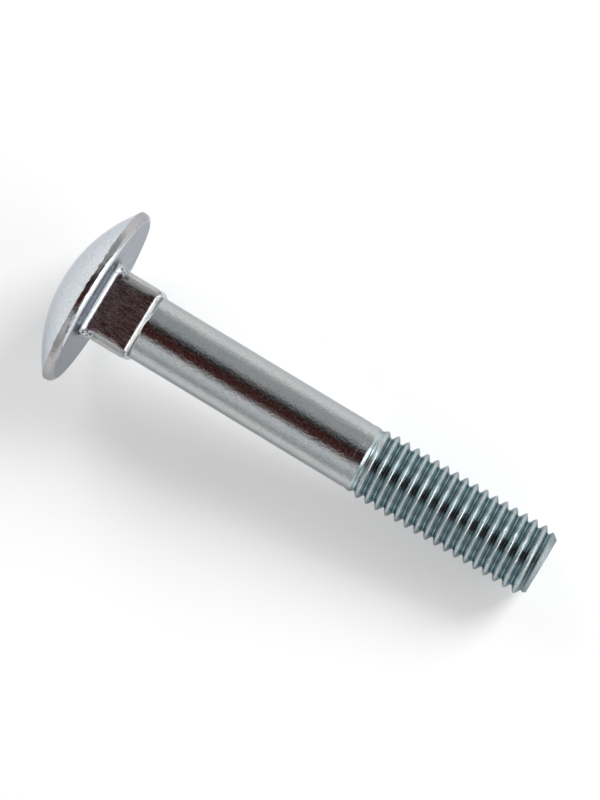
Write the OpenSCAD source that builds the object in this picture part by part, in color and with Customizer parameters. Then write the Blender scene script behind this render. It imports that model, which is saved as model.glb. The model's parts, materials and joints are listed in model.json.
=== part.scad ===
// Mushroom-head square-neck carriage bolt with a metric coarse thread, cold forged and rolled from one blank.
// The bolt is modelled standing on the Z axis, its bearing face at zero and its thread upwards.
// It is then laid down as it comes to rest, on the rim of its head and the last crests of its thread.

/* [Head] */
// Diameter of the domed head
head_d = 30; // [26:0.1:34]
// Height of the head above its bearing face
head_h = 6.8; // [5.5:0.1:8]
// Height of the rim, from the bearing face up to the crease where the dome starts
rim_h = 1.55; // [1.2:0.05:2]
// Rounding between the rim and the bearing face
rim_round = 1.1; // [0.4:0.05:1.1]
// Rounding of the crease between the rim and the dome
crease_round = 0.3; // [0.1:0.05:0.5]

/* [Square neck] */
// Width across the flats of the square neck
neck_w = 12; // [11.4:0.1:13]
// Length of the square neck, from the bearing face
neck_l = 8.1; // [6:0.1:10]
// Corner radius of the square neck
neck_corner_r = 1.8; // [0.8:0.1:2]
// Fillet between the neck and the bearing face
neck_fillet = 1.1; // [0.4:0.1:1.5]
// Length of the bevel from the flats of the neck down to the shank
neck_bevel_l = 0.6; // [0.3:0.1:1]

/* [Shank] */
// Diameter of the plain shank, which is the blank that the thread is rolled on
shank_d = 10.7; // [10.5:0.05:11]
// Length of the bolt below its head
bolt_l = 78.7; // [60:0.1:120]

/* [Thread] */
// Outside diameter of the thread
thread_d = 11.7; // [11.5:0.01:12]
// Pitch of the thread
thread_pitch = 1.75; // [1.5:0.05:2]
// Length of the thread, without its run-out
thread_l = 29; // [15:1:40]
// Length over which the thread fades out into the shank
runout_l = 3.6; // [2:0.1:5]
// Where the crest reaches the end face, in degrees round from the side that lies on the ground
thread_turn = 245; // [0:1:359]
// Diameter of the flat end face
end_d = 9.3; // [8:0.1:9.3]
// Angle between the end chamfer and the axis, in degrees
chamfer_angle = 36; // [30:1:45]

/* [Hidden] */
$fn = 96;

// Radii
head_r = head_d / 2;
shank_r = shank_d / 2;
thread_r = thread_d / 2;
end_r = end_d / 2;

// The dome is part of a sphere, through the crease and the top of the head
dome_h = head_h - rim_h;
dome_r = (head_r * head_r + dome_h * dome_h) / (2 * dome_h);
dome_z = dome_r - head_h;
// Centre of the crease's rounding, which touches the rim and the dome
crease_r = head_r - crease_round;
crease_z = dome_z - sqrt(pow(dome_r - crease_round, 2) - pow(crease_r, 2));
// The lower rounding ends where the crease's rounding starts, if not before
rim_edge = min(rim_round, -crease_z);

// How deep pieces of the one forging are sunk into each other
overlap = 0.5;

// One pitch of the sixty-degree thread form, as shares of the pitch along the axis,
// counted from the crest, and as shares of the depth from crest to root
crest_half = 1 / 16;
root_side = 0.39;
root_side_depth = 0.94;
FORM = [
    [-crest_half, 0],
    [crest_half, 0],
    [root_side, root_side_depth],
    [0.5, 1],
    [1 - root_side, root_side_depth]
];
thread_depth = 0.6134 * thread_pitch;
flank_slope = root_side_depth * thread_depth / ((root_side - crest_half) * thread_pitch);
rows_per_turn = len(FORM);
steps_per_turn = 36;

// The rolled part starts sunk into the blank, and comes just above it before the run-out
runout_z = bolt_l - thread_l - runout_l;
seat_l = 1;
seat_depth = 0.2;
runout_lift = 0.05;

// The end chamfer starts at the crests
chamfer_slope = tan(chamfer_angle);
chamfer_z = bolt_l - (thread_r - end_r) / chamfer_slope;

// Crest on the side that lies on the ground: the last before the end face, and the first
last_crest_z = bolt_l - thread_pitch * thread_turn / 360;
turns_below = ceil((last_crest_z - runout_z + seat_l) / thread_pitch) + 1;
first_crest_z = last_crest_z - thread_pitch * turns_below;
turns = turns_below + 2;

// Rest on level ground: the last full crest and the first one that the chamfer cuts
full_crest_z = first_crest_z
    + thread_pitch * floor((chamfer_z - first_crest_z) / thread_pitch + crest_half);
full_edge_z = min(full_crest_z + crest_half * thread_pitch, chamfer_z);
next_edge_z = full_crest_z + (1 - crest_half) * thread_pitch;
cut_edge_z = (next_edge_z * flank_slope + chamfer_z * chamfer_slope) / (flank_slope + chamfer_slope);
cut_edge_r = thread_r - (cut_edge_z - chamfer_z) * chamfer_slope;
rest_tilt = min(touch_tilt(full_edge_z, thread_r), touch_tilt(cut_edge_z, cut_edge_r));
rest_z = (head_r - rim_edge) * cos(rest_tilt) - rim_edge * sin(rest_tilt) + rim_edge;
// Middle of the lying bolt, between the back of the dome and the upper edge of the end face
back_x = dome_z * cos(rest_tilt) - dome_r;
front_x = bolt_l * cos(rest_tilt) + end_r * sin(rest_tilt);

// Tilt at which the head's rounded rim and a point of the thread both touch level ground
function touch_tilt(z, r) =
    let (
        run = z + rim_edge,
        rise = head_r - rim_edge - r
    )
    atan(rise / run) + asin(rim_edge / norm([run, rise]));

// Smooth step from 0 to 1
function ease(t) = let (c = min(1, max(0, t))) c * c * (3 - 2 * c);

// Radius of the blank under the rolled part
function blank_r(z) =
    shank_r - seat_depth
    + (seat_depth + runout_lift) * min(1, max(0, 2 * (z - runout_z + seat_l) / seat_l));

// Radius of the rolled part, which is the blank at first and then takes the thread form
function rolled_r(z, depth) =
    let (share = ease((z - runout_z) / runout_l))
    blank_r(z) * (1 - share) + (thread_r - depth * thread_depth) * share;

// Point of the strip that winds round the bolt: step counts round it, row counts along one pitch
function strip_point(step, row) =
    let (
        angle = 360 * step / steps_per_turn,
        z = first_crest_z + thread_pitch * (step / steps_per_turn + FORM[row][0]),
        r = rolled_r(z, FORM[row][1])
    )
    [r * cos(angle), r * sin(angle), z];

// Place of a strip point in the list of points: past its last row the strip meets its next turn
function strip_index(step, row) =
    row < rows_per_turn
        ? step * rows_per_turn + row
        : (step + steps_per_turn) * rows_per_turn;

// Open edge of the strip at a step: across one pitch, and back along one turn of the helix
function strip_edge(step) = concat(
    [for (row = [0:rows_per_turn]) strip_index(step, row)],
    [for (back = [steps_per_turn - 1:-1:0]) strip_index(step + back, 0)]
);

// Cross-section of the head, from its axis outwards
module head_profile() {
    outwards = [crease_r, crease_z - dome_z] / (dome_r - crease_round);
    corner = rim_h * outwards;
    difference() {
        intersection() {
            translate([0, dome_z]) circle(r = dome_r);
            union() {
                translate([0, -head_h]) square([head_r, head_h - rim_edge]);
                translate([0, -head_h]) square([head_r - rim_edge, head_h]);
                translate([head_r - rim_edge, -rim_edge]) circle(r = rim_edge);
            }
        }
        // The sharp crease is cut away, up to the rounding's centre
        translate([crease_r, crease_z])
            polygon([[0, 0], [rim_h, 0], [rim_h, corner[1]], corner]);
    }
    translate([crease_r, crease_z]) circle(r = crease_round);
}

module head() {
    rotate_extrude() head_profile();
}

// Square section of the neck, with its rounded corners
module neck_section() {
    half = neck_w / 2 - neck_corner_r;
    square([neck_w, 2 * half], center = true);
    square([2 * half, neck_w], center = true);
    for (x = [-half, half], y = [-half, half])
        translate([x, y]) circle(r = neck_corner_r);
}

// Side view of the neck, with the bevels at its end
module neck_side() {
    polygon([
        [-neck_w / 2, -overlap],
        [neck_w / 2, -overlap],
        [neck_w / 2, neck_l - neck_bevel_l],
        [shank_r, neck_l],
        [-shank_r, neck_l],
        [-neck_w / 2, neck_l - neck_bevel_l]
    ]);
}

// Cross-section of the fillet, out from a wall at zero, sunk into the wall and the head
module fillet_profile() {
    difference() {
        translate([-overlap, -overlap]) square(overlap + neck_fillet);
        translate([neck_fillet, neck_fillet]) circle(r = neck_fillet);
    }
}

// Fillet all round the foot of the neck
module neck_foot() {
    half = neck_w / 2 - neck_corner_r;
    for (turn = [0:90:270])
        rotate([0, 0, turn]) {
            translate([neck_w / 2, half, 0])
                rotate([90, 0, 0])
                    linear_extrude(2 * half) fillet_profile();
            translate([half, half, 0])
                rotate_extrude(angle = 90)
                    translate([neck_corner_r, 0]) fillet_profile();
        }
}

module neck() {
    intersection() {
        translate([0, 0, -overlap]) linear_extrude(neck_l + overlap) neck_section();
        for (turn = [0, 90])
            rotate([90, 0, turn])
                linear_extrude(neck_w + overlap, center = true) neck_side();
    }
    neck_foot();
}

module shank() {
    cylinder(r = shank_r, h = runout_z);
}

// Core and thread of the rolled part as one closed form, longer than the bolt at both ends
module rolled_form() {
    steps = turns * steps_per_turn;
    points = [
        for (step = [0:steps + steps_per_turn], row = [0:rows_per_turn - 1])
            strip_point(step, row)
    ];
    sides = [
        for (step = [0:steps - 1], row = [0:rows_per_turn - 1])
            let (
                a = strip_index(step, row),
                b = strip_index(step, row + 1),
                c = strip_index(step + 1, row + 1),
                d = strip_index(step + 1, row)
            )
            each [[a, b, c], [a, c, d]]
    ];
    low_edge = strip_edge(0);
    low_end = len(points);
    low_cap = [
        for (i = [1:len(low_edge) - 1]) [low_edge[i], low_edge[i - 1], low_end]
    ];
    high_edge = strip_edge(steps);
    high_end = low_end + 1;
    high_cap = [
        for (i = [1:len(high_edge) - 1]) [high_edge[i - 1], high_edge[i], high_end]
    ];
    axis_ends = [
        [0, 0, first_crest_z],
        [0, 0, first_crest_z + thread_pitch * (turns + 1)]
    ];
    polyhedron(points = concat(points, axis_ends), faces = concat(sides, low_cap, high_cap));
}

// Outline that the rolled part is cut to: from its seat in the shank to the chamfered end
module thread_limits() {
    reach = neck_w;
    chamfer_reach = (reach - end_r) / chamfer_slope;
    translate([0, 0, runout_z - seat_l])
        cylinder(r = reach, h = bolt_l - chamfer_reach - runout_z + seat_l);
    translate([0, 0, bolt_l - chamfer_reach])
        cylinder(r1 = reach, r2 = end_r, h = chamfer_reach);
}

module thread() {
    intersection() {
        rolled_form();
        thread_limits();
    }
}

// Lays the standing bolt on level ground, with its middle over the origin
module at_rest() {
    translate([-(back_x + front_x) / 2, 0, rest_z])
        rotate([0, 90 + rest_tilt, 0]) children();
}

module carriage_bolt() {
    color([0.76, 0.78, 0.8])
        at_rest() {
            head();
            neck();
            shank();
            thread();
        }
}

carriage_bolt();
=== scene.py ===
"""A zinc-plated carriage bolt on a pale floor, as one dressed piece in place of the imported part."""

import json
import math
from functools import partial

import bmesh
import bpy
from mathutils import Matrix, Vector, noise


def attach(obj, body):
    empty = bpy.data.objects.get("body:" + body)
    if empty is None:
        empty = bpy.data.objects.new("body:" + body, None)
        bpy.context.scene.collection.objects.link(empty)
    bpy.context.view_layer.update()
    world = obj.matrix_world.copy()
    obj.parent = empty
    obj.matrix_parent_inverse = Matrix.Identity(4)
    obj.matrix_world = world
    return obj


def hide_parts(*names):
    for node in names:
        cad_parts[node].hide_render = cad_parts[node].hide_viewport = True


MM = 0.001

# The bolt's own frame, in millimetres: its axis is Z, its bearing face lies at zero, and angles
# count from the side that lies on the ground
HEAD_R = 15.0
HEAD_H = 6.8
RIM_H = 1.55
RIM_ROUND = 1.1
CREASE_ROUND = 0.3
NECK_HALF = 6.0
NECK_L = 8.1
NECK_CORNER_R = 1.8
NECK_FILLET = 1.1
NECK_BEVEL_L = 0.6
SHANK_R = 5.35
BOLT_L = 78.7
THREAD_R = 5.85
THREAD_L = 29.0
PITCH = 1.75
RUNOUT_L = 3.6
RUNOUT_Z = BOLT_L - THREAD_L - RUNOUT_L
END_R = 4.65
CHAMFER_SLOPE = math.tan(math.radians(36))
# The crest reaches the end face this share of a turn round from the ground side. The strip that
# makes the thread starts on the ground side and ends there, past the end face. Its start is
# rounded, so that none of its points lies in the end face
END_TURN = 245 / 360
STRIP_TURNS = 20
STRIP_Z = round(BOLT_L - PITCH * (STRIP_TURNS - 1 + END_TURN), 3)

# The dome is part of a sphere, through the crease and the top of the head
DOME_H = HEAD_H - RIM_H
DOME_R = (HEAD_R**2 + DOME_H**2) / (2 * DOME_H)
DOME_Z = DOME_R - HEAD_H
CREASE_R = HEAD_R - CREASE_ROUND
CREASE_Z = DOME_Z - math.sqrt((DOME_R - CREASE_ROUND) ** 2 - CREASE_R**2)

# Columns round the bolt: many on the head and neck, half as many on the shank and thread, and
# few at the top of the dome, where each ring has twice as many as the last
FINE = 288
COARSE = 144
DOME_TOP = FINE // 16

# Rings along each part of the bolt
DOME_STEPS = 34
CREASE_STEPS = 5
RIM_STEPS = 10
FILLET_STEPS = 10
BEVEL_STEPS = 12
SHANK_STEPS = 36


def soften(value, width):
    """max(value, 0) with its corner rounded over about width."""
    return (value + math.hypot(value, width)) / 2


def soft_min(a, b, width):
    """min(a, b) with its corner rounded in the same way."""
    return a - soften(a - b, width)


def ease(share):
    """Smooth step from 0 to 1."""
    share = min(1.0, max(0.0, share))
    return share * share * (3 - 2 * share)


def around(r, angle, z=0.0):
    """Point at a distance from the axis, a turn round it and a height along it."""
    return (r * math.cos(angle), r * math.sin(angle), z)


def uneven(point, size, seed):
    """Smooth noise from about -1 to 1, whose bumps measure about size."""
    return noise.noise(Vector(point) / size + Vector((seed, 7 * seed, -3 * seed)))


class Skin:
    """Points and faces of the bolt's surface, from the top of the dome to the end face.

    Each point also says how deep it lies in the thread's groove, whether it is on the dull band of
    the rim (1) or on the bearing face (-1), and how torn the metal is there.
    """

    def __init__(self):
        self.points = []
        self.groove = []
        self.rim = []
        self.torn = []
        self.faces = []
        self.last_ring = []

    def add(self, r, angle, z, groove=0.0, rim=0.0, torn=0.0):
        self.points.append(around(r, angle, z))
        self.groove.append(groove)
        self.rim.append(rim)
        self.torn.append(torn)
        return len(self.points) - 1

    def add_ring(self, count, radius, z, rim=0.0, torn=0.0):
        """Joins a ring to the last one. Its values are numbers or functions of the angle."""
        ring = []
        for i in range(count):
            angle = 2 * math.pi * i / count
            here = [part(angle) if callable(part) else part for part in (radius, z, rim, torn)]
            ring.append(self.add(here[0], angle, here[1], rim=here[2], torn=here[3]))
        self.join(self.last_ring, ring)
        self.last_ring = ring

    def join(self, low, high):
        """Faces from one point to a ring, or between rings with as many, twice or half the points."""
        if len(low) == 1:
            for i in range(len(high)):
                self.faces.append((low[0], high[(i + 1) % len(high)], high[i]))
        elif len(low) == len(high):
            for i in range(len(low)):
                j = (i + 1) % len(low)
                self.faces.append((low[i], low[j], high[j], high[i]))
        elif len(low) < len(high):
            for i in range(len(low)):
                j = (i + 1) % len(low)
                a, b, c = high[2 * i], high[2 * i + 1], high[(2 * i + 2) % len(high)]
                self.faces += [(low[i], b, a), (low[i], low[j], b), (low[j], c, b)]
        else:
            for i in range(len(high)):
                j = (i + 1) % len(high)
                a, b, c = low[2 * i], low[2 * i + 1], low[(2 * i + 2) % len(low)]
                self.faces += [(a, b, high[i]), (b, high[j], high[i]), (b, c, high[j])]


def head_section():
    """Radius, height and step, from the top of the dome to the bearing face.

    The step is -2 on the dome, rises to 0 round the crease, and then counts down the rim's rounding.
    """
    crease_turn = math.asin(CREASE_R / (DOME_R - CREASE_ROUND))
    section = []
    for i in range(1, DOME_STEPS + 1):
        turn = crease_turn * i / DOME_STEPS
        section.append((DOME_R * math.sin(turn), DOME_Z - DOME_R * math.cos(turn), -2))
    for i in range(1, CREASE_STEPS + 1):
        turn = (math.pi / 2 - crease_turn) * (1 - i / CREASE_STEPS)
        r = CREASE_R + CREASE_ROUND * math.cos(turn)
        z = CREASE_Z - CREASE_ROUND * math.sin(turn)
        section.append((r, z, -1 + i / CREASE_STEPS))
    for i in range(RIM_STEPS + 1):
        turn = math.pi / 2 * i / RIM_STEPS
        r = HEAD_R - RIM_ROUND + RIM_ROUND * math.cos(turn)
        z = -RIM_ROUND + RIM_ROUND * math.sin(turn)
        section.append((r, z, i))
    return section


def near_crease(r, z):
    """1 at the crease between the dome and the rim, and 0 away from it."""
    return ease(1 - abs(z - CREASE_Z) / 0.9) * ease((r - 13) / 1.5)


def head_radius(r, z, angle):
    """The head sits a little off centre, and its crease is worn and chipped."""
    edge = around(HEAD_R, angle)
    off_centre = 0.07 * (1 - math.sin(angle))
    worn = 0.03 * (1 + uneven(edge, 4, 2))
    worn += 0.12 * max(0, uneven(edge, 0.7, 5) - 0.1) * near_crease(r, z)
    return r - (off_centre + worn) * r / HEAD_R


def dome_dent(r, z, angle):
    return 0.03 * (1 + uneven(around(r, angle, z), 5, 1))


def head_height(r, z, angle):
    """The crease wanders up and down, and the dome is slightly dented."""
    edge = around(HEAD_R, angle)
    shift = 0.12 * uneven(edge, 2.2, 3) + 0.13 * uneven(edge, 0.7, 4)
    return z + shift * near_crease(r, z) + dome_dent(r, z, angle) * ease(-z / 2)


def rim_band(step, angle):
    """The dull band is narrow on the sides that face up and down, and wide between them."""
    wide = 2.6 + 4.5 * ease((abs(math.sin(angle)) - 0.35) / 0.35)
    return ease(step + 2) * ease((wide - step) / 1.4) - ease((step - 6) / 4)


def head_rings(skin):
    """Dome, crease, rim and its rounding, as rings from the top of the dome to the bearing face."""
    skin.last_ring = [skin.add(0, 0, -HEAD_H + dome_dent(0, -HEAD_H, 0))]
    columns = DOME_TOP
    for r, z, step in head_section():
        skin.add_ring(
            columns, partial(head_radius, r, z), partial(head_height, r, z), partial(rim_band, step)
        )
        columns = min(2 * columns, FINE)


def rounded_square(angle, half, corner):
    """Distance from the centre of a rounded square to its outline."""
    large, small = sorted((abs(math.cos(angle)), abs(math.sin(angle))), reverse=True)
    middle = half - corner
    if half * small <= middle * large:
        return half / large
    along = middle * (large + small)
    return along + math.sqrt(along * along - 2 * middle * middle + corner * corner)


def neck_radius(z, grow, angle):
    """Outline of the neck at a height, grown by the fillet. Its corners are sharper at both ends."""
    corner = NECK_CORNER_R - 0.7 + 0.9 * ease((z - 0.7) / 1.4) - 0.3 * ease((z - 5.5) / 1.8)
    r = rounded_square(angle, NECK_HALF + grow, corner + grow)
    cut = SHANK_R + (NECK_L - z) / NECK_BEVEL_L * (NECK_HALF - SHANK_R)
    flat = max(abs(math.cos(angle)), abs(math.sin(angle)))
    return soft_min(r, max(cut, SHANK_R) / flat, 0.22)


def at_corner(angle):
    """1 at the corners of the square neck, and 0 away from them."""
    return ease(1.3 - abs(angle % (math.pi / 2) - math.pi / 4) / 0.16)


# Distance of the torn fins from the bolt's axis
FIN_R = 9.0


def fillet_size(angle):
    """The fillet is drawn out to torn fins at the corners."""
    fin = around(FIN_R, angle)
    ragged = 0.3 + 0.25 * uneven(fin, 1.5, 14) + 0.22 * uneven(fin, 0.5, 17)
    return NECK_FILLET * (1 + at_corner(angle) * ragged)


def bearing_radius(share, angle):
    """Radius at a share of the way from the rim in to the fillet."""
    outer = HEAD_R - RIM_ROUND
    inner = neck_radius(0, fillet_size(angle), angle)
    return outer + (inner - outer) * share


def bearing_height(share, angle):
    """The bearing face is slightly uneven between its edges."""
    place = around(bearing_radius(share, angle), angle)
    return -0.02 * (1 + uneven(place, 3, 6)) * ease(4 * share * (1 - share))


def fillet_radius(out, up, angle):
    size = fillet_size(angle)
    return neck_radius(up * size, out * size, angle)


def fillet_height(up, angle):
    return up * fillet_size(angle)


# Heights where the neck's sides start above the fillet, and the spacing of their rings
SIDES_Z = 1.8
SIDES_STEP = 0.3


def neck_levels():
    """Heights of the rings on the neck's sides, closest at the bevelled end."""
    levels = [SIDES_Z]
    while levels[-1] < NECK_L - NECK_BEVEL_L - 0.4:
        levels.append(levels[-1] + SIDES_STEP)
    last = levels[-1]
    step = (NECK_L - last) / BEVEL_STEPS
    return levels + [last + step * i for i in range(1, BEVEL_STEPS + 1)]


def neck_side_radius(z, angle):
    """The neck's corners are worn, with folds above the fillet and a burr at the end."""
    r = neck_radius(z, 0.0, angle)
    place = around(r, angle, z)
    corner = ease((r - NECK_HALF) / 1.4)
    burr = ease(1 - abs(z - NECK_L + 0.3) / 0.3) * corner * uneven(place, 0.7, 8)
    fold = ease(1 - abs(z - 2.0) / 1.0) * at_corner(angle) * uneven(place, 0.7, 18)
    return r - 0.03 * (1 + uneven(place, 2.5, 7)) * corner + 0.12 * burr + 0.3 * fold


def neck_side_torn(z, angle):
    """The metal is torn at the corners, next to the fillet and at the neck's end."""
    return at_corner(angle) * max(ease((z - 7.1) / 0.5), ease(1 - (z - 1.6) / 1.4))


# How far the neck's end rises to the shank, and where the shank's own rings start and end
NECK_END_RISE = 0.12
SHANK_START_Z = NECK_L + 0.25
SHANK_END_Z = STRIP_Z - 0.2


def neck_end_radius(share, angle):
    """Radius at a share of the way from the square in to the round shank."""
    return neck_radius(NECK_L, 0.0, angle) * (1 - share) + (SHANK_R + 0.02) * share


def neck_rings(skin):
    """Bearing face, fillet, square neck and its bevelled end."""
    for share in (0.04, 0.15, 0.35, 0.6, 0.82, 0.95):
        skin.add_ring(FINE, partial(bearing_radius, share), partial(bearing_height, share), rim=-1)
    for i in range(FILLET_STEPS + 1):
        turn = math.pi / 2 * i / FILLET_STEPS
        out = 1 - math.sin(turn)
        up = 1 - math.cos(turn)
        skin.add_ring(
            FINE, partial(fillet_radius, out, up), partial(fillet_height, up),
            rim=ease(up / 0.7) - 1, torn=at_corner,
        )
    for z in neck_levels():
        skin.add_ring(FINE, partial(neck_side_radius, z), z, torn=partial(neck_side_torn, z))
    for share in (0.25, 0.5, 0.75, 0.92, 1.0):
        skin.add_ring(FINE, partial(neck_end_radius, share), NECK_L + NECK_END_RISE * share * share)


def shank_radius(z, angle):
    return SHANK_R - 0.012 * (1 + uneven(around(SHANK_R, angle, z), 3, 9))


def shank_rings(skin):
    """The plain shank, as far as the first turn of the thread's strip."""
    skin.add_ring(FINE, SHANK_R, SHANK_START_Z)
    for i in range(1, SHANK_STEPS + 1):
        z = SHANK_START_Z + (SHANK_END_Z - SHANK_START_Z) * i / SHANK_STEPS
        skin.add_ring(COARSE, partial(shank_radius, z), z)


# Rows across one pitch, as shares of the pitch from the crest
HALF_ROWS = (0.035, 0.07, 0.105, 0.18, 0.27, 0.36, 0.43)
ROWS = (0.0,) + HALF_ROWS + (0.5,) + tuple(1 - share for share in reversed(HALF_ROWS))
# The thread form: the crest's half width and the side of the root as shares of the pitch, and
# the depth there as a share of the whole depth
CREST_HALF = 0.07
ROOT_SIDE = 0.39
ROOT_SIDE_DEPTH = 0.94
THREAD_DEPTH = 0.6134 * PITCH
# The crests are nicked from here to the end
NICKED_Z = 64.0


def thread_form(share):
    """Depth of the thread at a share of the pitch from the crest: 0 at the crest and 1 at the root."""
    away = min(share, 1 - share)
    straight = (away - CREST_HALF) * ROOT_SIDE_DEPTH / (ROOT_SIDE - CREST_HALF)
    rounded = soften(straight, 0.32) - 0.06
    return 1 - soften(1 - rounded, 0.12)


def thread_point(skin, step, row):
    """Point of the strip that winds round the bolt, with worn and nicked crests."""
    turns = step / COARSE
    angle = 2 * math.pi * turns
    z = STRIP_Z + PITCH * (turns + ROWS[row])
    depth = thread_form(ROWS[row])
    share = ease((z - RUNOUT_Z) / RUNOUT_L)
    r = SHANK_R * (1 - share) + (THREAD_R - depth * THREAD_DEPTH) * share
    place = around(r, angle, z)
    worn = 0.02 * (1 + uneven(place, 1.6, 11)) + 0.07 * max(0, uneven(place, 0.9, 12) - 0.2)
    nicked = 0.16 * max(0, uneven(place, 0.55, 16) - 0.05) * ease((z - NICKED_Z) / 8)
    r -= (worn + nicked) * share * ease(1 - 3 * depth)
    # Faint first grooves where the rolling starts
    r -= 0.07 * depth**4 * (1 - share) * ease((z - RUNOUT_Z + 1.4) / 0.8)
    # The end chamfer, with its rough edge
    r = soft_min(r, END_R + (BOLT_L - z) * CHAMFER_SLOPE, 0.06)
    r -= 0.05 * (1 + uneven(place, 0.45, 15)) * ease((z - BOLT_L + 1.5) / 0.5)
    return skin.add(r, angle, z, groove=depth * share)


def thread_strip(skin):
    """A strip one pitch wide that winds round the bolt, from the shank's last ring to past the end."""
    straight = skin.last_ring
    rows = len(ROWS)
    steps = COARSE * STRIP_TURNS
    first = len(skin.points)
    for step in range(steps + COARSE + 1):
        for row in range(rows):
            thread_point(skin, step, row)

    def at(step, row):
        """Past its last row the strip meets its own next turn."""
        return first + (step * rows + row if row < rows else (step + COARSE) * rows)

    for step in range(steps):
        for row in range(rows):
            skin.faces.append(
                (at(step, row), at(step + 1, row), at(step + 1, row + 1), at(step, row + 1))
            )
    # The strip's first turn rises one pitch from the straight ring
    for i in range(COARSE - 1):
        skin.faces.append((straight[i], straight[i + 1], at(i + 1, 0), at(i, 0)))
    strip_start = [at(0, row) for row in range(rows + 1)]
    skin.faces.append((straight[-1], straight[0], *strip_start, at(COARSE - 1, 0)))


# Rings of the slightly hollow end face: shares of its radius, and how deep they are sunk
END_RINGS = ((0.97, 0.0), (0.8, 0.04), (0.5, 0.1), (0.2, 0.13))
END_GROOVE = 0.3


def close_end(mesh):
    """Cuts the strip off at the end face and closes it."""
    cut = bmesh.ops.bisect_plane(
        mesh, geom=mesh.verts[:] + mesh.edges[:] + mesh.faces[:], dist=1e-5,
        plane_co=(0, 0, BOLT_L), plane_no=(0, 0, 1), clear_outer=True,
    )
    outer = [v for v in cut["geom_cut"] if isinstance(v, bmesh.types.BMVert)]
    outer.sort(key=lambda v: math.atan2(v.co.y, v.co.x))
    groove = mesh.verts.layers.float["groove"]
    for share, sunk in END_RINGS:
        inner = []
        for v in outer:
            place = around(END_R * share, math.atan2(v.co.y, v.co.x))
            z = BOLT_L - sunk - 0.02 * (1 + uneven(place, 1.5, 13))
            vert = mesh.verts.new((place[0], place[1], z))
            vert[groove] = END_GROOVE
            inner.append(vert)
        for i in range(len(outer)):
            j = (i + 1) % len(outer)
            mesh.faces.new((outer[i], outer[j], inner[j], inner[i]))
        outer = inner
    mesh.faces.new(outer)


def build_bolt(to_row):
    """The bolt's surface as one closed mesh in the row frame."""
    skin = Skin()
    head_rings(skin)
    neck_rings(skin)
    shank_rings(skin)
    thread_strip(skin)
    mesh = bmesh.new()
    groove = mesh.verts.layers.float.new("groove")
    rim = mesh.verts.layers.float.new("rim")
    torn = mesh.verts.layers.float.new("torn")
    own = mesh.verts.layers.float_vector.new("own")
    for point, deep, edge, ragged in zip(skin.points, skin.groove, skin.rim, skin.torn):
        vert = mesh.verts.new(point)
        vert[groove] = deep
        vert[rim] = edge
        vert[torn] = ragged
    mesh.verts.ensure_lookup_table()
    for face in skin.faces:
        mesh.faces.new([mesh.verts[i] for i in face])
    # Past the end face only the first row of the strip's last turn has faces
    loose = [v for v in mesh.verts if not v.link_faces]
    bmesh.ops.delete(mesh, geom=loose, context="VERTS")
    close_end(mesh)
    bmesh.ops.triangulate(mesh, faces=[f for f in mesh.faces if len(f.verts) > 4])
    for vert in mesh.verts:
        vert[own] = vert.co
    mesh.transform(to_row)
    data = bpy.data.meshes.new("bolt_skin")
    mesh.to_mesh(data)
    mesh.free()
    data.polygons.foreach_set("use_smooth", [True] * len(data.polygons))
    piece = bpy.data.objects.new("bolt_skin", data)
    bpy.context.scene.collection.objects.link(piece)
    return piece


class Nodes:
    """Short calls that add nodes to a material's or the world's node tree."""

    def __init__(self, tree):
        self.tree = tree
        tree.nodes.clear()

    def set(self, socket, value):
        if isinstance(value, bpy.types.NodeSocket):
            self.tree.links.new(value, socket)
        else:
            socket.default_value = value

    def add(self, kind, inputs=(), **settings):
        node = self.tree.nodes.new(kind)
        for name, value in settings.items():
            setattr(node, name, value)
        for name, value in dict(inputs).items():
            self.set(node.inputs[name], value)
        return node

    def math(self, operation, a, b):
        return self.add("ShaderNodeMath", {0: a, 1: b}, operation=operation).outputs[0]

    def span(self, value, low, high, to_low=0.0, to_high=1.0):
        """value from low to high becomes to_low to to_high, clamped."""
        inputs = {"Value": value, "From Min": low, "From Max": high, "To Min": to_low, "To Max": to_high}
        return self.add("ShaderNodeMapRange", inputs).outputs["Result"]

    def mix(self, share, a, b):
        return self.add("ShaderNodeMix", {0: share, 6: a, 7: b}, data_type="RGBA").outputs[2]

    def noise(self, vector, scale, detail, rough=0.5):
        inputs = {"Vector": vector, "Scale": scale, "Detail": detail, "Roughness": rough}
        return self.add("ShaderNodeTexNoise", inputs).outputs["Fac"]

    def stretched(self, vector, scale):
        return self.add("ShaderNodeMapping", {"Vector": vector, "Scale": scale}).outputs[0]

    def attribute(self, name, output="Fac"):
        return self.add("ShaderNodeAttribute", attribute_name=name).outputs[output]

    def ramp(self, value, stops):
        node = self.add("ShaderNodeValToRGB", {"Fac": value})
        elements = node.color_ramp.elements
        while len(elements) < len(stops):
            elements.new(0.5)
        for element, (place, colour) in zip(elements, stops):
            element.position = place
            element.color = (*colour, 1)
        return node.outputs["Color"]

    def bump(self, height, distance, strength, normal=None):
        inputs = {"Height": height, "Distance": distance, "Strength": strength}
        if normal is not None:
            inputs["Normal"] = normal
        return self.add("ShaderNodeBump", inputs).outputs["Normal"]


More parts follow.
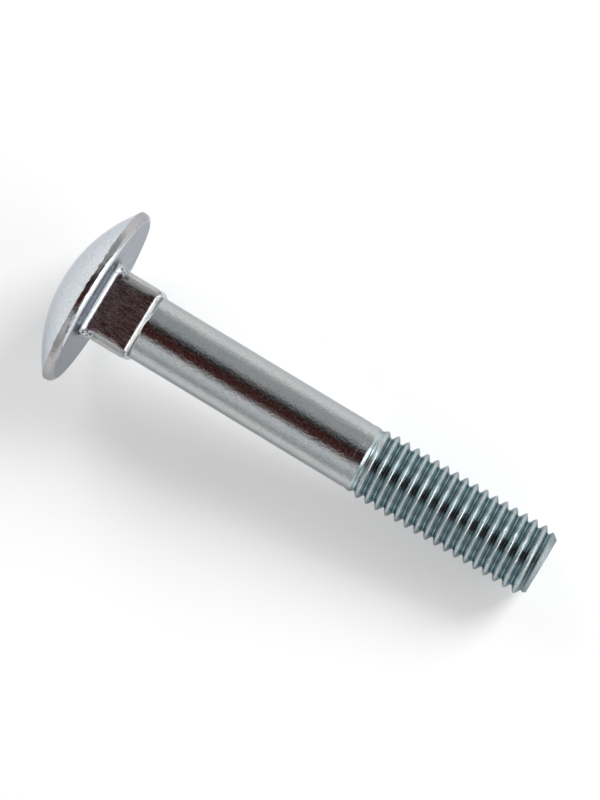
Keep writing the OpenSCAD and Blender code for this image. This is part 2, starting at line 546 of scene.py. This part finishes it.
# Colours of the zinc. Where two are given, it drifts from one to the other
HEAD_COLOURS = ((0.72, 0.79, 0.82, 1), (0.77, 0.79, 0.84, 1))
STEM_COLOURS = ((0.475, 0.51, 0.52, 1), (0.515, 0.53, 0.522, 1))
# The bearing face under the head: its own bluish tone, darkened as painted shade
UNDERSIDE_TONE_AND_PAINTED_SHADE = (0.44, 0.475, 0.53, 1)
MOTTLE_COLOUR = (0.46, 0.485, 0.475, 1)
PIT_COLOUR = (0.25, 0.255, 0.26, 1)
STAIN_COLOUR = (0.42, 0.38, 0.35, 1)
THREAD_COLOUR = (0.47, 0.545, 0.565, 1)
FLANK_COLOUR = (0.46, 0.55, 0.575, 1)
# Painted shade: the teal film of the grooves, darkened deep in the roots
ROOT_TEAL_PAINTED_SHADE = (0.20, 0.29, 0.31, 1)
RIM_COLOUR = (0.38, 0.365, 0.35, 1)
CHIP_COLOUR = (0.06, 0.05, 0.045, 1)
CRACK_COLOUR = (0.07, 0.08, 0.07, 1)
END_COLOUR = (0.31, 0.37, 0.38, 1)
OXIDE_COLOUR = (0.52, 0.28, 0.26, 1)

# Tints of the zinc at a grazing angle. Those of the bearing face and the grooves are darker, as painted
# shade
GRAZING_TINT = (0.66, 0.69, 0.72, 1)
GRAZING_UNDERSIDE_PAINTED_SHADE = (0.44, 0.47, 0.50, 1)
GRAZING_GROOVE_PAINTED_SHADE = (0.33, 0.40, 0.42, 1)

# Stretch of the die marks, which run along the neck
DIE_MARKS = (5.0, 5.0, 0.5)


def zinc_colour(nodes, own, along, groove, rim, torn, at_end):
    """A bluish grey that drifts, with a teal film in the grooves and a dull brownish rim, and painted
    shade at the roots and on the bearing face.
    """
    drift = nodes.noise(own, 0.35, 3.0)
    head = nodes.mix(nodes.span(drift, 0.38, 0.62), *HEAD_COLOURS)
    # The bearing face and the foot of the fillet turn darker, partly as painted shade under the head
    head = nodes.mix(nodes.span(rim, 0.0, -1.0), head, UNDERSIDE_TONE_AND_PAINTED_SHADE)
    stem = nodes.mix(nodes.span(drift, 0.35, 0.65), *STEM_COLOURS)
    colour = nodes.mix(nodes.span(along, 0.2, 2.0), head, stem)

    mottle = nodes.noise(own, 2.2, 3.0)
    colour = nodes.mix(nodes.span(mottle, 0.4, 0.75, 0.0, 0.3), colour, MOTTLE_COLOUR)
    pits = nodes.span(nodes.noise(own, 3.4, 4.0, 0.75), 0.5, 0.7)
    pits = nodes.math("MULTIPLY", pits, nodes.span(along, -0.5, 0.5, 0.2, 0.5))
    colour = nodes.mix(pits, colour, PIT_COLOUR)
    stains = nodes.noise(own, 0.9, 2.0)
    colour = nodes.mix(nodes.span(stains, 0.67, 0.73, 0.0, 0.4), colour, STAIN_COLOUR)

    on_thread = nodes.span(along, RUNOUT_Z, RUNOUT_Z + RUNOUT_L, 0.0, 0.5)
    colour = nodes.mix(on_thread, colour, THREAD_COLOUR)
    colour = nodes.mix(nodes.span(groove, 0.03, 0.35), colour, FLANK_COLOUR)
    # Painted shade: deep in the grooves the colour darkens towards the root colour
    colour = nodes.mix(nodes.span(groove, 0.5, 0.98, 0.0, 0.85), colour, ROOT_TEAL_PAINTED_SHADE)
    colour = nodes.mix(nodes.span(rim, 0.0, 1.0, 0.0, 0.8), colour, RIM_COLOUR)

    # The zinc is chipped in the crease and cracked at the neck's corners
    in_crease = nodes.math("MULTIPLY", nodes.span(rim, 0.0, 0.4), nodes.span(rim, 0.6, 1.0, 1.0, 0.0))
    chips = nodes.math("MULTIPLY", in_crease, nodes.span(nodes.noise(own, 0.8, 3.0), 0.52, 0.56))
    colour = nodes.mix(chips, colour, CHIP_COLOUR)
    cracks = nodes.math("MULTIPLY", torn, nodes.span(nodes.noise(own, 2.2, 3.0), 0.55, 0.60))
    colour = nodes.mix(cracks, colour, CRACK_COLOUR)
    return nodes.mix(nodes.math("MULTIPLY", at_end, 0.75), colour, END_COLOUR)


def zinc_roughness(nodes, own, groove, rim, at_end):
    """Bright zinc, duller on the rim, in the grooves and on the end face."""
    rough = nodes.span(nodes.noise(own, 1.1, 4.0), 0.3, 0.7, 0.04, 0.09)
    rough = nodes.math("ADD", rough, nodes.span(rim, 0.0, 1.0, 0.0, 0.06))
    rough = nodes.math("ADD", rough, nodes.span(groove, 0.05, 0.4, 0.0, 0.06))
    return nodes.math("ADD", rough, nodes.math("MULTIPLY", at_end, 0.2))


def zinc_relief(nodes, own, die_marks, at_end):
    """Shallow waves, the grain of the plate, and the marks that the die left on the neck."""
    normal = nodes.bump(nodes.noise(own, 1.8, 2.0), 0.05 * MM, 0.5)
    grain = nodes.noise(own, 2.8, 4.0, 0.7)
    grain_depth = nodes.span(at_end, 0.0, 1.0, 0.055 * MM, 0.2 * MM)
    normal = nodes.bump(grain, grain_depth, 0.9, normal)
    return nodes.bump(die_marks, 0.08 * MM, 0.6, normal)


def zinc_plate():
    """Bright zinc plate over cold forged and rolled steel."""
    material = bpy.data.materials.new("zinc_plate")
    material.use_nodes = True
    nodes = Nodes(material.node_tree)
    own = nodes.attribute("own", "Vector")
    groove = nodes.attribute("groove")
    rim = nodes.attribute("rim")
    torn = nodes.attribute("torn")
    along = nodes.add("ShaderNodeSeparateXYZ", {"Vector": own}).outputs["Z"]
    at_end = nodes.span(along, BOLT_L - 1.5, BOLT_L - 0.9)
    on_neck = nodes.math("MULTIPLY", nodes.span(along, 0.6, 1.2), nodes.span(along, 7.6, 8.2, 1.0, 0.0))
    drawn = nodes.noise(nodes.stretched(own, DIE_MARKS), 1.0, 3.0)
    die_marks = nodes.math("MULTIPLY", drawn, on_neck)

    # Dull oxide grains, which show most where the metal mirrors the dark
    grains = nodes.span(nodes.noise(own, 3.0, 4.0, 0.8), 0.50, 0.60)
    grains = nodes.math("MULTIPLY", grains, nodes.span(groove, 0.0, 0.2, 1.0, 0.3))
    streaks = nodes.math("MULTIPLY", nodes.span(drawn, 0.46, 0.60), on_neck)
    grains = nodes.math("MAXIMUM", grains, streaks)

    colour = zinc_colour(nodes, own, along, groove, rim, torn, at_end)
    colour = nodes.mix(nodes.math("MULTIPLY", grains, 0.2), colour, OXIDE_COLOUR)
    # At a grazing angle the bearing face and the grooves are painted darker than the rest, as painted
    # shade
    tint = nodes.mix(nodes.span(rim, 0.0, -1.0), GRAZING_TINT, GRAZING_UNDERSIDE_PAINTED_SHADE)
    tint = nodes.mix(nodes.span(groove, 0.0, 0.3), tint, GRAZING_GROOVE_PAINTED_SHADE)
    shader = nodes.add("ShaderNodeBsdfPrincipled", {
        "Base Color": colour,
        "Metallic": nodes.math("SUBTRACT", 1.0, nodes.math("MULTIPLY", grains, 0.08)),
        "Roughness": zinc_roughness(nodes, own, groove, rim, at_end),
        "Normal": zinc_relief(nodes, own, die_marks, at_end),
        "Specular Tint": tint,
    })
    nodes.add("ShaderNodeOutputMaterial", {"Surface": shader.outputs["BSDF"]})
    return material


# Brightness of the studio round the bolt's axis: degrees from straight above it, towards the
# far side where positive, and the colour there
STUDIO = (
    (-180, (0.30, 0.30, 0.31)),
    (-100, (0.30, 0.31, 0.31)),
    (-80, (0.42, 0.44, 0.45)),
    (-65, (0.70, 0.73, 0.75)),
    (-45, (0.86, 0.90, 0.92)),
    (-34, (0.82, 0.85, 0.86)),
    (-31.5, (0.070, 0.018, 0.016)),
    (4, (0.060, 0.008, 0.007)),
    (9, (0.018, 0.016, 0.015)),
    (27, (0.022, 0.024, 0.023)),
    (29.5, (0.44, 0.45, 0.46)),
    (48, (0.49, 0.51, 0.53)),
    (70, (0.45, 0.47, 0.48)),
    (80, (0.55, 0.58, 0.59)),
    (95, (0.66, 0.70, 0.70)),
)
# Its colours past both ends of the bolt, straight on from the thread, and just above the floor
STUDIO_SIDES = (0.50, 0.52, 0.53, 1)
STUDIO_AHEAD = (0.80, 0.84, 0.85, 1)
HORIZON = (0.97, 0.97, 0.97, 1)


def studio_world(tilt):
    """The studio that the bolt mirrors, turned with the bolt's axis."""
    world = bpy.data.worlds.new("studio")
    bpy.context.scene.world = world
    world.use_nodes = True
    nodes = Nodes(world.node_tree)
    ray = nodes.add("ShaderNodeTexCoord").outputs["Generated"]
    turned = nodes.add("ShaderNodeVectorRotate", {"Vector": ray, "Angle": -tilt}, rotation_type="Y_AXIS")
    own = nodes.add("ShaderNodeSeparateXYZ", {"Vector": turned.outputs[0]}).outputs
    round_axis = nodes.math("ARCTAN2", own["Y"], own["Z"])
    stops = [((degrees + 180) / 360, colour) for degrees, colour in STUDIO]
    colour = nodes.ramp(nodes.span(round_axis, -math.pi, math.pi), stops)
    sideways = nodes.math("MAXIMUM", own["X"], nodes.math("MULTIPLY", own["X"], -0.55))
    colour = nodes.mix(nodes.span(sideways, 0.40, 0.54), colour, STUDIO_SIDES)
    colour = nodes.mix(nodes.span(own["X"], 0.72, 0.88), colour, STUDIO_AHEAD)
    level = nodes.add("ShaderNodeSeparateXYZ", {"Vector": ray}).outputs
    # The white horizon leaves out the near side
    low = nodes.span(level["Z"], 0.045, 0.08, 1.0, 0.0)
    horizon = nodes.math("MULTIPLY", low, nodes.span(level["Y"], -0.6, -0.1))
    colour = nodes.mix(horizon, colour, HORIZON)
    background = nodes.add("ShaderNodeBackground", {"Color": colour, "Strength": 1.0})
    nodes.add("ShaderNodeOutputWorld", {"Surface": background.outputs[0]})


def softbox(name, azimuth, elevation, distance, size, radiance, mirrored=True):
    """A soft lamp that faces the bolt. Its azimuth counts from +X towards +Y."""
    lamp = bpy.data.lights.new(name, "AREA")
    lamp.shape = "RECTANGLE"
    lamp.size, lamp.size_y = size
    lamp.energy = radiance * math.pi * size[0] * size[1]
    thing = bpy.data.objects.new(name, lamp)
    bpy.context.scene.collection.objects.link(thing)
    turn, rise = math.radians(azimuth), math.radians(elevation)
    level = math.cos(rise)
    away = Vector((math.cos(turn) * level, math.sin(turn) * level, math.sin(rise)))
    thing.location = away * distance
    thing.rotation_mode = "QUATERNION"
    thing.rotation_quaternion = (-away).to_track_quat("-Z", "Y")
    thing.visible_glossy = mirrored


# The floor reaches this far from the bolt, in metres
FLOOR_HALF = 6.0
FLOOR_PAINT = (0.90, 0.90, 0.90, 1)
FLOOR_WHITE = (1, 1, 1, 1)


def floor():
    """A wide pale floor that keeps the bolt's shadow, and looks white away from it."""
    half = FLOOR_HALF
    corners = [(-half, -half, 0), (half, -half, 0), (half, half, 0), (-half, half, 0)]
    data = bpy.data.meshes.new("floor")
    data.from_pydata(corners, [], [(0, 1, 2, 3)])
    piece = bpy.data.objects.new("floor", data)
    bpy.context.scene.collection.objects.link(piece)
    material = bpy.data.materials.new("floor")
    material.use_nodes = True
    nodes = Nodes(material.node_tree)
    ray = nodes.add("ShaderNodeLightPath").outputs
    seen = nodes.math("MAXIMUM", ray["Is Camera Ray"], ray["Is Glossy Ray"])
    seen = nodes.math("MAXIMUM", seen, ray["Is Transmission Ray"])
    paint = nodes.add("ShaderNodeBsdfDiffuse", {"Color": FLOOR_PAINT})
    white = nodes.add("ShaderNodeEmission", {"Color": FLOOR_WHITE, "Strength": 1.0})
    place = nodes.add("ShaderNodeTexCoord").outputs["Object"]
    # Seen directly or in the metal, the paint turns white with the distance from the bolt
    far = nodes.add("ShaderNodeVectorMath", {0: place}, operation="LENGTH").outputs["Value"]
    lift = nodes.math("MULTIPLY", seen, nodes.span(far, 0.25, 1.2, 0.32, 0.96))
    both = nodes.add("ShaderNodeMixShader", {0: lift, 1: paint.outputs[0], 2: white.outputs[0]})
    nodes.add("ShaderNodeOutputMaterial", {"Surface": both.outputs[0]})
    data.materials.append(material)


# The photo's view: the point aimed at lies along the bolt from its bearing face and a little to
# its far side, the camera stands a little towards the thread, and the bolt slants in the picture
AIM_ALONG = 34.0 * MM
AIM_ACROSS = 2.66 * MM
CAMERA_TURN = math.radians(4)
CAMERA_SLANT = math.radians(31.15)
CAMERA_DISTANCE = 0.690
SENSOR_WIDTH = 36
FOCAL_LENGTH = 202.8


def photo_camera(bearing, axis, sky_side):
    """Looks down on the lying bolt with the photo's slant, from the photo's distance."""
    aim = bearing + axis * AIM_ALONG + Vector((0, AIM_ACROSS, 0))
    back = axis * math.sin(CAMERA_TURN) + sky_side * math.cos(CAMERA_TURN)
    along = (axis - back * axis.dot(back)).normalized()
    across = back.cross(along)
    right = along * math.cos(CAMERA_SLANT) + across * math.sin(CAMERA_SLANT)
    up = back.cross(right)
    data = bpy.data.cameras.new("camera")
    data.sensor_width = SENSOR_WIDTH
    data.lens = FOCAL_LENGTH
    camera = bpy.data.objects.new("camera", data)
    bpy.context.scene.collection.objects.link(camera)
    turned = Matrix((right, up, back)).transposed().to_4x4()
    camera.matrix_world = Matrix.Translation(aim + back * CAMERA_DISTANCE) @ turned
    bpy.context.scene.camera = camera


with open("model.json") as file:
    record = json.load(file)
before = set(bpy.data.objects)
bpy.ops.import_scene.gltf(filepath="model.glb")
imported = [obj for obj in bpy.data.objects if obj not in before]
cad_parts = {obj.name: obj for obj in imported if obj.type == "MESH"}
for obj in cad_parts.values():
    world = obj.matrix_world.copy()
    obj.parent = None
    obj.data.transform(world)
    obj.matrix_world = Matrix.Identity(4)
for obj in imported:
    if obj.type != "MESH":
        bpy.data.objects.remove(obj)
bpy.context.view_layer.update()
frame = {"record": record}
bearing_mount = next(m for m in frame["record"]["mounts"] if m["name"] == "head_bearing")
bearing = Vector(bearing_mount["pos_m"])
axis = Vector(bearing_mount["axis"]).normalized()
ground_side = Vector((axis.z, 0, -axis.x))
turn = Matrix((ground_side, Vector((0, 1, 0)), axis)).transposed().to_4x4()
to_row = Matrix.Translation(bearing) @ turn @ Matrix.Diagonal((MM, MM, MM, 1))

photo_camera(bearing, axis, -ground_side)
studio_world(math.atan2(-axis.z, axis.x))
softbox("front", azimuth=12, elevation=22, distance=1.4, size=(1.2, 0.9), radiance=2.5)
softbox("back", azimuth=148, elevation=33, distance=1.4, size=(0.8, 0.6), radiance=3.4)
# The key lamp casts the shadow, and the metal doesn't mirror it
softbox("key", azimuth=62, elevation=32, distance=1.5, size=(0.65, 0.65), radiance=18, mirrored=False)
floor()

bolt = build_bolt(to_row)
bolt.data.materials.append(zinc_plate())
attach(bolt, "root")
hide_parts("carriage_bolt")

bpy.context.scene.view_settings.view_transform = "Standard"
